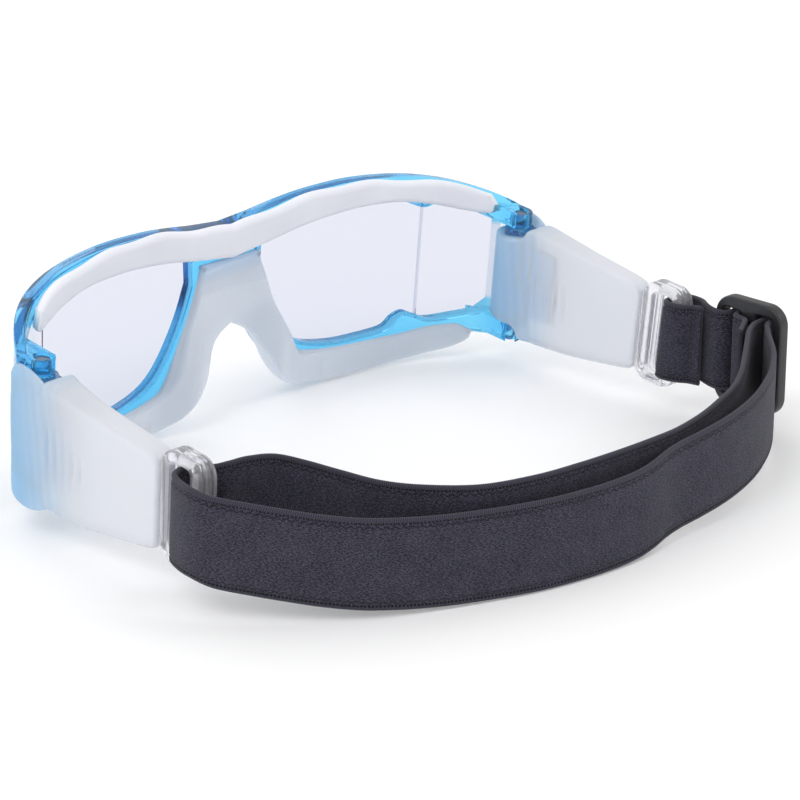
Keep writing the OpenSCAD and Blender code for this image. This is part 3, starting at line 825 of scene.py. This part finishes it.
def half_thickness(edge):
    """Half the webbing's thickness at a distance from its edge: corded hem, seam, then flat knit."""
    if edge < HEM_R:
        return math.sqrt(max(0.0, HEM_R ** 2 - (HEM_R - edge) ** 2))
    if edge < SEAM_IN:
        return HEM_R - SEAM_SINK * ease((edge - HEM_R) / (SEAM_IN - HEM_R))
    return HEM_R - SEAM_SINK + KNIT_RISE * ease((edge - SEAM_IN) / KNIT_RUN)


def across_steps():
    """Places across the webbing, from its bottom edge to its top edge."""
    near = [0.0, 0.05, 0.15, 0.33, 0.6, 0.8, 1.0, 1.15, 1.4, 1.7, 2.0]
    return near + list(np.linspace(3.4, STRAP_W - 3.4, 12)) + [STRAP_W - e for e in reversed(near)]


class Ribbon:
    """The whole strap as rows of points round its section, from which the stretches are cut."""

    def __init__(self):
        line = smooth_open(STRAP_ROUTE, ROUTE_STEPS)
        run = np.gradient(line, axis=0)
        run[:, 2] = 0
        run /= np.linalg.norm(run, axis=1)[:, None]
        self.line, self.run = line, run
        self.side = np.stack([run[:, 1], -run[:, 0], np.zeros(len(run))], 1)
        share = np.clip((LEAN_END_Y - line[:, 1]) / (LEAN_END_Y - LEAN_FULL_Y), 0, 1)
        self.up = np.stack([np.zeros(len(run)), math.tan(STRAP_PITCH) * share, np.ones(len(run))], 1)
        self.length = np.r_[0, np.cumsum(np.linalg.norm(np.diff(line, axis=0), axis=1))]
        steps = across_steps()
        self.section = [(a, half_thickness(min(a, STRAP_W - a))) for a in steps]
        self.section += [(a, -h) for a, h in self.section[::-1][1:-1]]
        self.rows = [[table(*self.point(i, a, h)) for a, h in self.section] for i in range(len(line))]
        self.normals = self.smooth_normals()

    def point(self, i, across, out):
        return self.line[i] + self.up[i] * (across - STRAP_W / 2) + self.side[i] * out

    def smooth_normals(self):
        grid = np.array(self.rows)
        along = np.gradient(grid, axis=0)
        around = np.roll(grid, -1, 1) - np.roll(grid, 1, 1)
        n = np.cross(around, along)
        n /= np.linalg.norm(n, axis=2)[:, :, None] + 1e-12
        outward = grid - grid.mean(1)[:, None, :]
        flip = np.sign((n * outward).sum())
        return n * flip

    def stretch(self, name, first, last):
        """A mesh of the rows first to last, with UVs in mm, whose ends shade as the whole strap does."""
        bm = bmesh.new()
        uv = bm.loops.layers.uv.new("along_across")
        rows = [[bm.verts.new(p) for p in self.rows[i]] for i in range(first, last + 1)]
        count = len(self.section)
        for r in range(len(rows) - 1):
            for k in range(count):
                j = (k + 1) % count
                face = bm.faces.new((rows[r][k], rows[r + 1][k], rows[r + 1][j], rows[r][j]))
                corners = ((r, k), (r + 1, k), (r + 1, j), (r, j))
                for loop, (a, b) in zip(face.loops, corners):
                    loop[uv].uv = (self.length[first + a], self.section[b][0])
        ends = []
        if first == 0:
            ends.append(rows[0][::-1])
        if last == len(self.rows) - 1:
            ends.append(rows[-1])
        for end in ends:
            bm.faces.new(end)
        bmesh.ops.recalc_face_normals(bm, faces=bm.faces[:])
        mesh = bpy.data.meshes.new(name)
        bm.to_mesh(mesh)
        bm.free()
        mesh.shade_smooth()
        if not ends:
            mesh.normals_split_custom_set_from_vertices(
                [tuple(v) for v in self.normals[first:last + 1].reshape(-1, 3)])
        obj = bpy.data.objects.new(name, mesh)
        bpy.context.scene.collection.objects.link(obj)
        return obj


def bar_tack(ribbon, name, at, face, body):
    """A zigzag row of thread across the webbing, on one of its faces."""
    points = []
    for k in range(TACK_CROSSINGS):
        across = TACK_INSET + (STRAP_W - 2 * TACK_INSET) * k / (TACK_CROSSINGS - 1)
        shift = ribbon.run[at] * (TACK_REACH if k % 2 else -TACK_REACH)
        points.append(table(*(ribbon.point(at, across, face * TACK_OUT) + shift)))
    thread = tube(name, points, THREAD_R * MM)
    piece(thread, MAT_THREAD, [body], ["strap_stitching"])


def make_strap():
    ribbon = Ribbon()
    for name, first, last, bodies, bend in STRAP_STRETCHES:
        stretch = ribbon.stretch(name, first * ROUTE_STEPS, last * ROUTE_STEPS)
        piece(stretch, MAT_STRAP, bodies, ["strap"], bend)
    bar_tack(ribbon, "fold_stitches_inside", 4, 1, "slider")
    bar_tack(ribbon, "fold_stitches_outside", 4, -1, "slider")
    bar_tack(ribbon, "tail_stitches_inside", 81 * ROUTE_STEPS, 1, "right_arm")
    bar_tack(ribbon, "tail_stitches_outside", 81 * ROUTE_STEPS, -1, "right_arm")


def repaint(node, material):
    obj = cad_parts[node]
    obj.data.materials.clear()
    obj.data.materials.append(material)


add_camera()
add_stage()
make_front()
make_brow_pad()
make_nose_pad()
for side, sign in (("left", 1), ("right", -1)):
    make_arm(side, sign)
    make_ring(side, sign)
    repaint(f"arm_core_{side}", MAT_CORE)
    repaint(f"hinge_pin_{side}", MAT_PIN)
make_slider()
make_strap()
